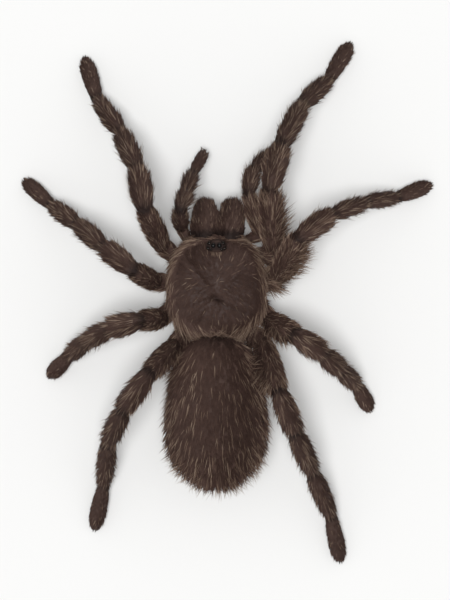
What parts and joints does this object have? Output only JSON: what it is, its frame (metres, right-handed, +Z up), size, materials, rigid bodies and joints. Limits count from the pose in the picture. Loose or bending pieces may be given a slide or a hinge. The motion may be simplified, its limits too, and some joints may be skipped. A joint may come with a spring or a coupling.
{
  "type": "tarantula",
  "caption": "Life-size still model of a dark brown ground tarantula, standing with its hairy legs spread, palps forward and fangs folded.",
  "frame": {"origin": "on the floor under the middle of the bounding box, which lies just behind the carapace's middle", "axes": "+Z up, the head faces -Y, and the animal's left side is +X; the body's midline is parallel to Y"},
  "size_m": [0.0822, 0.1044, 0.0226],
  "materials": {
    "bristle_coat": "dense matt dark brown bristles",
    "carapace_shell": "dark brown shell under short swept bristles",
    "abdomen_coat": "long soft dark brown hair",
    "underside_coat": "short dense blackish brown bristles",
    "membrane": "dull dark joint skin",
    "fang_horn": "polished black horn",
    "eye_lens": "polished black lens"
  },
  "bodies": {
    "root": {"abdomen": "abdomen_coat", "carapace": "carapace_shell", "chelicera_left": "bristle_coat", "chelicera_right": "bristle_coat", "eye_mound": "eye_lens", "fang_left": "fang_horn", "fang_right": "fang_horn", "leg_1_left_femur": "bristle_coat", "leg_1_left_metatarsus": "bristle_coat", "leg_1_left_patella": "bristle_coat", "leg_1_left_tarsus": "bristle_coat", "leg_1_left_tibia": "bristle_coat", "leg_1_right_femur": "bristle_coat", "leg_1_right_metatarsus": "bristle_coat", "leg_1_right_patella": "bristle_coat", "leg_1_right_tarsus": "bristle_coat", "leg_1_right_tibia": "bristle_coat", "leg_2_left_femur": "bristle_coat", "leg_2_left_metatarsus": "bristle_coat", "leg_2_left_patella": "bristle_coat", "leg_2_left_tarsus": "bristle_coat", "leg_2_left_tibia": "bristle_coat", "leg_2_right_femur": "bristle_coat", "leg_2_right_metatarsus": "bristle_coat", "leg_2_right_patella": "bristle_coat", "leg_2_right_tarsus": "bristle_coat", "leg_2_right_tibia": "bristle_coat", "leg_3_left_femur": "bristle_coat", "leg_3_left_metatarsus": "bristle_coat", "leg_3_left_patella": "bristle_coat", "leg_3_left_tarsus": "bristle_coat", "leg_3_left_tibia": "bristle_coat", "leg_3_right_femur": "bristle_coat", "leg_3_right_metatarsus": "bristle_coat", "leg_3_right_patella": "bristle_coat", "leg_3_right_tarsus": "bristle_coat", "leg_3_right_tibia": "bristle_coat", "leg_4_left_femur": "bristle_coat", "leg_4_left_metatarsus": "bristle_coat", "leg_4_left_patella": "bristle_coat", "leg_4_left_tarsus": "bristle_coat", "leg_4_left_tibia": "bristle_coat", "leg_4_right_femur": "bristle_coat", "leg_4_right_metatarsus": "bristle_coat", "leg_4_right_patella": "bristle_coat", "leg_4_right_tarsus": "bristle_coat", "leg_4_right_tibia": "bristle_coat", "palp_left_femur": "bristle_coat", "palp_left_patella": "bristle_coat", "palp_left_tarsus": "bristle_coat", "palp_left_tibia": "bristle_coat", "palp_right_femur": "bristle_coat", "palp_right_patella": "bristle_coat", "palp_right_tarsus": "bristle_coat", "palp_right_tibia": "bristle_coat", "pedicel": "membrane", "spinneret_left": "underside_coat", "spinneret_right": "underside_coat", "sternum_and_coxae": "underside_coat"}
  },
  "joints": []
}
